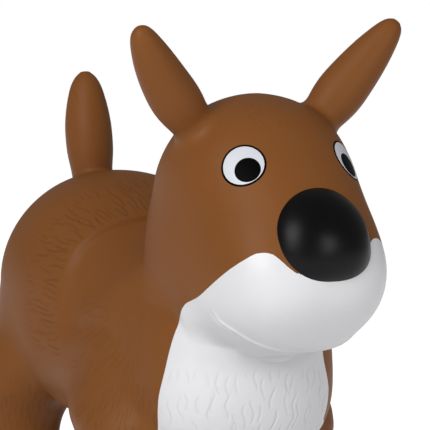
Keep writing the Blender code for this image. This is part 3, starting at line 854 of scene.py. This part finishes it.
def ear_value(points):
    """Height above the ear's seam along its stem."""
    turn = FORMS["ear"]["turn"][2]
    return (left_half(points) - EAR_ROOT) @ turn - EAR_SEAM


def tail_value(points):
    """Height above the tail's seam along its stem."""
    return np.where(points[:, 1] > 120, (points - TAIL_ROOT) @ FORMS["tail"]["turn"][2] - TAIL_SEAM, -50.0)


def valve_value(points):
    """Distance from the rim of the valve's round seat, under the belly only."""
    round_seat = np.hypot(points[:, 0], points[:, 1] - VALVE_Y) - VALVE_RADIUS
    return np.where(points[:, 2] < 150, round_seat, 50.0)


# Pieces of the skin: paint, slot and the nodes that each replaces
PIECES = {
    "trunk": ("coat", "brown_vinyl", ("trunk_skin",)),
    "head": ("coat", "brown_vinyl", ("head_skin",)),
    "bib": ("bib", "white_vinyl", ("muzzle_skin", "chest_skin")),
}
for tip in ("ear_left", "ear_right", "tail"):
    PIECES[tip] = ("coat", "brown_vinyl", (tip,))
for corner in ("front_left", "front_right", "rear_left", "rear_right"):
    PIECES["leg_" + corner] = ("coat", "brown_vinyl", ("leg_" + corner,))
    PIECES["hoof_" + corner] = ("hoof", "hoof_vinyl", ("hoof_" + corner,))


class DEER_OT_skin(bpy.types.Operator):
    """Mould the skin, divide it at its seams and paint lines, and give every piece its wall"""

    bl_idname = "deer.skin"
    bl_label = "Moulded skin"

    def execute(self, context):
        step = sizes().mesh_step / MM * 1.0
        points, faces = skin_mesh(step)
        for value in (lambda p: p[:, 2] - HOOF_LINE, ear_value, tail_value, valve_value, paint_value):
            points, faces = cut(points, faces, value(points))
        for border in (
            lambda near, front: near["leg_front"] - np.minimum(front, near["body"]),
            lambda near, front: near["leg_rear"] - np.minimum(front, near["body"]),
            lambda near, front: front - near["body"],
        ):
            near = skin_field(points)[2]
            points, faces = cut(points, faces, border(near, np.minimum(near["head"], near["neck"])))
        label = join_islands(faces, skin_labels(points, faces))
        points, faces, label, groove = carve_hair(points, faces, label, skin_field(points)[2], paint_value(points))
        normals = vertex_normals(points, faces)
        # The hair amounts are painted shade, multiplied into the colour in the moulded grooves.
        paints = {
            "coat": vinyl("coat_paint", colours().coat, 0.50, specular=0.14, hair=0.25),
            "bib": vinyl("bib_paint", colours().bib, 0.42, specular=0.4, hair=0.08),
            "hoof": vinyl("hoof_paint", colours().hoof, 0.48),
        }
        for name, (paint, slot, nodes) in PIECES.items():
            chosen = faces[label == name]
            if not len(chosen):
                raise RuntimeError("no faces for " + name)
            used, index = np.unique(chosen, return_inverse=True)
            chosen = index.reshape(chosen.shape)
            outer, outer_normals = points[used], normals[used]
            inner, inner_faces = lids(outer, chosen, outer_normals)
            item = mesh_object(name + "_moulding", np.vstack([outer, inner]), np.vstack([chosen, inner_faces]))
            item.data.shade_smooth()
            lid_normals = np.zeros_like(inner) + (0, 0, 1)
            item.data.normals_split_custom_set_from_vertices(np.vstack([outer_normals, lid_normals]).tolist())
            # The groove depth goes on the skin as an attribute, which the paints read to paint shade into the
            # grooves.
            hair = item.data.attributes.new("hair", "FLOAT", "POINT")
            hair.data.foreach_set("value", np.concatenate([groove[used], np.zeros(len(inner))]))
            item.data.materials.append(paints[paint])
            give_body(item, name)
            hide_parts(*nodes)
        return {"FINISHED"}


def give_body(item, name):
    """Attach a hoof to the feet's body; every other piece of the skin has its transform baked into its mesh."""
    if name.startswith("ear"):
        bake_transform(item)
    elif name == "tail":
        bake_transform(item)
    elif name.startswith("hoof"):
        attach(item, "feet")
    else:
        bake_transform(item)


class DEER_OT_nose(bpy.types.Operator):
    """Set the black nose on the front of the head"""

    bl_idname = "deer.nose"
    bl_label = "Nose"

    def execute(self, context):
        around, rings = 160, 90
        polar = np.linspace(0, math.pi, rings)[:, None]
        turn = np.linspace(0, 2 * math.pi, around, endpoint=False)[None]
        c, s = np.cos(turn), np.sin(turn)
        power = 2 / np.where(s > 0, *NOSE_SQUARENESS)
        rise = np.sin(polar) * np.sign(s) * np.abs(s) ** power
        x = np.sin(polar) * np.sign(c) * np.abs(c) ** power * NOSE_SIZE[0] * (1 - NOSE_TAPER * rise)
        y, z = -np.cos(polar) * NOSE_SIZE[1] + 0 * turn, rise * NOSE_SIZE[2]
        tilt_cos, tilt_sin = math.cos(NOSE_TILT), math.sin(NOSE_TILT)
        points = np.stack([x, y * tilt_cos + z * tilt_sin, z * tilt_cos + y * tilt_sin], -1)
        points = points.reshape(-1, 3) + NOSE_CENTRE
        item = closed_grid("nose_bulb", points, grid_faces(rings, around))
        item.data.materials.append(vinyl("nose_paint", colours().nose, 0.36, 0.10, 2.4, specular=0.14))
        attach(item, "animal")
        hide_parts("nose_skin")
        return {"FINISHED"}


def closed_grid(name, points, faces):
    """A grid whose first and last rows are poles: doubles merged, faces turned outwards."""
    item = mesh_object(name, points, faces)
    work = bmesh.new()
    work.from_mesh(item.data)
    bmesh.ops.remove_doubles(work, verts=work.verts, dist=0.00001)
    bmesh.ops.recalc_face_normals(work, faces=work.faces)
    work.to_mesh(item.data)
    work.free()
    item.data.shade_smooth()
    return item


class DEER_OT_eyes(bpy.types.Operator):
    """Print the two eyes: rim, white and pupil, each a thin disc that follows the head"""

    bl_idname = "deer.eyes"
    bl_label = "Eyes"

    def execute(self, context):
        settings = sizes()
        radius = settings.eye_radius / MM
        rim = settings.eye_rim / MM
        pupil = settings.pupil_radius / MM
        black = vinyl("eye_black_print", colours().nose, 0.34, 0.02, specular=0.02)
        white = vinyl("eye_white_print", colours().eye_white, 0.32, 0.02, specular=0.3)
        for side, word in ((1, "left"), (-1, "right")):
            mirror = np.array((side, 1.0, 1.0))
            normal = EYE_NORMAL / np.linalg.norm(EYE_NORMAL) * mirror
            centre = EYE_CENTRE * mirror
            down = normal * normal[2] - (0, 0, 1)
            down /= np.linalg.norm(down)
            inward = np.cross(down, normal) * side
            pupil_centre = centre - inward * PUPIL_SHIFT[0] - down * PUPIL_SHIFT[1]
            for name, middle, size, height, paint, slot, node in (
                ("eye_outline_", centre, radius, RIM_PRINT, black, "eye_black", "eye_rim_"),
                ("eye_field_", centre, radius - rim, FIELD_PRINT, white, "eye_white", "eye_white_"),
                ("eye_pupil_", pupil_centre, pupil, PUPIL_PRINT, black, "eye_black", "pupil_"),
            ):
                item = eye_disc(name + word, middle, normal, down, inward, size, height)
                item.data.materials.append(paint)
                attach(item, "animal")
                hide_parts(node + word)
        return {"FINISHED"}


def eye_disc(name, centre, normal, down, across, radius, height):
    """A thin disc draped on the head: rings of points slid along the eye's axis onto the skin, then raised, with
    a rounded edge and a back inside the skin."""
    ring = np.concatenate([np.linspace(0, 1, 26) * (radius - 0.4), [radius - 0.2, radius - 0.06, radius, radius],
                           [radius * 0.5, 0]])
    rise = np.concatenate([np.full(26, height), [height - 0.03, height - 0.1, height - 0.2], np.full(3, EYE_ROOT)])
    turn = np.linspace(0, 2 * math.pi, EYE_AROUND, endpoint=False)
    flat = (ring[:, None, None] * (np.cos(turn)[None, :, None] * down + np.sin(turn)[None, :, None] * across)
            + centre).reshape(-1, 3)
    for _ in range(6):
        distance, slope, _ = skin_field(flat)
        flat = flat - (distance / np.maximum(slope @ normal, 0.2))[:, None] * normal
    _, slope, _ = skin_field(flat)
    points = flat + slope * np.repeat(rise, EYE_AROUND)[:, None]
    return closed_grid(name, points, grid_faces(len(ring), EYE_AROUND))


class DEER_OT_valve(bpy.types.Operator):
    """Set the thick valve seat in the belly and give the stopper its finish"""

    bl_idname = "deer.valve"
    bl_label = "Valve"

    def execute(self, context):
        wall, land, bore = VALVE_RADIUS - 0.1, VALVE_LAND, VALVE_BORE
        profile = np.array([
            (0, land + 15), (bore - 0.6, land + 15), (bore, land + 14.4), (bore, land + 8), (bore, land + 0.7),
            (bore + 0.2, land + 0.2), (bore + 0.7, land), (wall - 2, land), (wall - 1.4, land + 0.1),
            (wall - 0.4, land + 0.7), (wall, land + 1.6), (wall, land + 10), (wall, land + 18), (0, land + 18),
        ], float)
        turn = np.linspace(0, 2 * math.pi, 72, endpoint=False)[None]
        points = np.stack([profile[:, :1] * np.cos(turn), VALVE_Y + profile[:, :1] * np.sin(turn),
                           profile[:, 1:] + 0 * turn], -1)
        item = closed_grid("valve_seat", points.reshape(-1, 3), grid_faces(*points.shape[:2]))
        item.data.materials.append(vinyl("valve_vinyl", colours().coat, 0.44, specular=0.3))
        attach(item, "animal")
        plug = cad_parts["valve_plug"]
        paint = vinyl("stopper_plastic", colours().stopper, 0.38, 0.08, 1.5)
        for slot in plug.material_slots:
            slot.material = paint
        return {"FINISHED"}


class DEER_OT_stage(bpy.types.Operator):
    """Lay the floor and set the lights and the camera"""

    bl_idname = "deer.stage"
    bl_label = "Stage"

    def execute(self, context):
        scene = context.scene
        scene.view_settings.view_transform = "Standard"
        corners = np.array([(-1, -1, 0), (1, -1, 0), (1, 1, 0), (-1, 1, 0)]) * FLOOR_HALF
        floor = mesh_object("floor", corners, [(0, 1, 2, 3)])
        made, tree, shader = plain_paint("pale_floor", 0.1)
        shader.inputs["Base Color"].default_value = (*colours().floor, 1)
        shader.inputs["Roughness"].default_value = 0.9
        rays = add_node(tree, "LightPath", {}).outputs
        seen = add_node(tree, "Math", {0: rays["Is Camera Ray"], 1: rays["Is Glossy Ray"]}, operation="MAXIMUM")
        rest = {0: seen.outputs[0], 1: rays["Is Transmission Ray"]}
        seen = add_node(tree, "Math", rest, operation="MAXIMUM").outputs[0]
        power = add_node(tree, "Math", {0: seen, 1: FLOOR_GLOW}, operation="MULTIPLY").outputs[0]
        glow = add_node(tree, "Emission", {"Strength": power})
        both = add_node(tree, "AddShader", {0: shader.outputs[0], 1: glow.outputs[0]})
        tree.links.new(both.outputs[0], tree.nodes["Material Output"].inputs["Surface"])
        floor.data.materials.append(made)
        world = bpy.data.worlds.new("studio")
        world.use_nodes = True
        sky = world.node_tree.nodes["Background"].inputs
        sky["Color"].default_value = (1, 1, 1, 1)
        sky["Strength"].default_value = STUDIO_LIGHT
        scene.world = world
        lamp("key", *KEY_LAMP)
        lamp("front", *FRONT_LAMP)
        scene.camera = camera()
        return {"FINISHED"}


def camera():
    """The camera, turned round the toy and tilted down on it from a long way off."""
    side, rise = math.sin(CAMERA_TURN), math.sin(CAMERA_TILT)
    back = Vector((side * math.cos(CAMERA_TILT), -math.cos(CAMERA_TURN) * math.cos(CAMERA_TILT), rise))
    view = placed("camera", bpy.data.cameras.new("camera"))
    view.data.lens = CAMERA_LENS
    view.data.sensor_width = CAMERA_SENSOR
    view.data.clip_end = CAMERA_FAR
    view.location = Vector(CAMERA_TARGET) + back * CAMERA_DISTANCE
    view.rotation_euler = (-back).to_track_quat("-Z", "Y").to_euler()
    return view


def lamp(name, place_at, size, power):
    """A soft square lamp aimed at the toy's middle."""
    light = bpy.data.lights.new(name, "AREA")
    light.size = size
    light.energy = power
    item = placed(name, light)
    item.location = place_at
    item.rotation_euler = (Vector(LAMP_AIM) - Vector(place_at)).to_track_quat("-Z", "Y").to_euler()


class DEER_PT_panel(bpy.types.Panel):
    """Buttons and settings for the deer"""

    bl_idname = "DEER_PT_panel"
    bl_label = "Ride-on deer"
    bl_space_type = "VIEW_3D"
    bl_region_type = "UI"
    bl_category = "Deer"

    def draw(self, context):
        for group in (context.scene.deer_sizes, context.scene.deer_colours):
            for name in group.__annotations__:
                self.layout.prop(group, name)
        for operator in OPERATORS:
            self.layout.operator(operator.bl_idname)


OPERATORS = (DEER_OT_skin, DEER_OT_nose, DEER_OT_eyes, DEER_OT_valve, DEER_OT_stage)
CLASSES = (DeerSizes, DeerColours) + OPERATORS + (DEER_PT_panel,)


def register():
    """Register the classes and their settings."""
    for made in CLASSES:
        bpy.utils.register_class(made)
    bpy.types.Scene.deer_sizes = PointerProperty(type=DeerSizes)
    bpy.types.Scene.deer_colours = PointerProperty(type=DeerColours)


def unregister():
    """Take the classes and settings away again."""
    del bpy.types.Scene.deer_colours
    del bpy.types.Scene.deer_sizes
    for made in reversed(CLASSES):
        bpy.utils.unregister_class(made)


def main():
    """Build every piece in order."""
    register()
    bpy.ops.deer.skin()
    bpy.ops.deer.nose()
    bpy.ops.deer.eyes()
    bpy.ops.deer.valve()
    bpy.ops.deer.stage()


if __name__ == "__main__":
    main()
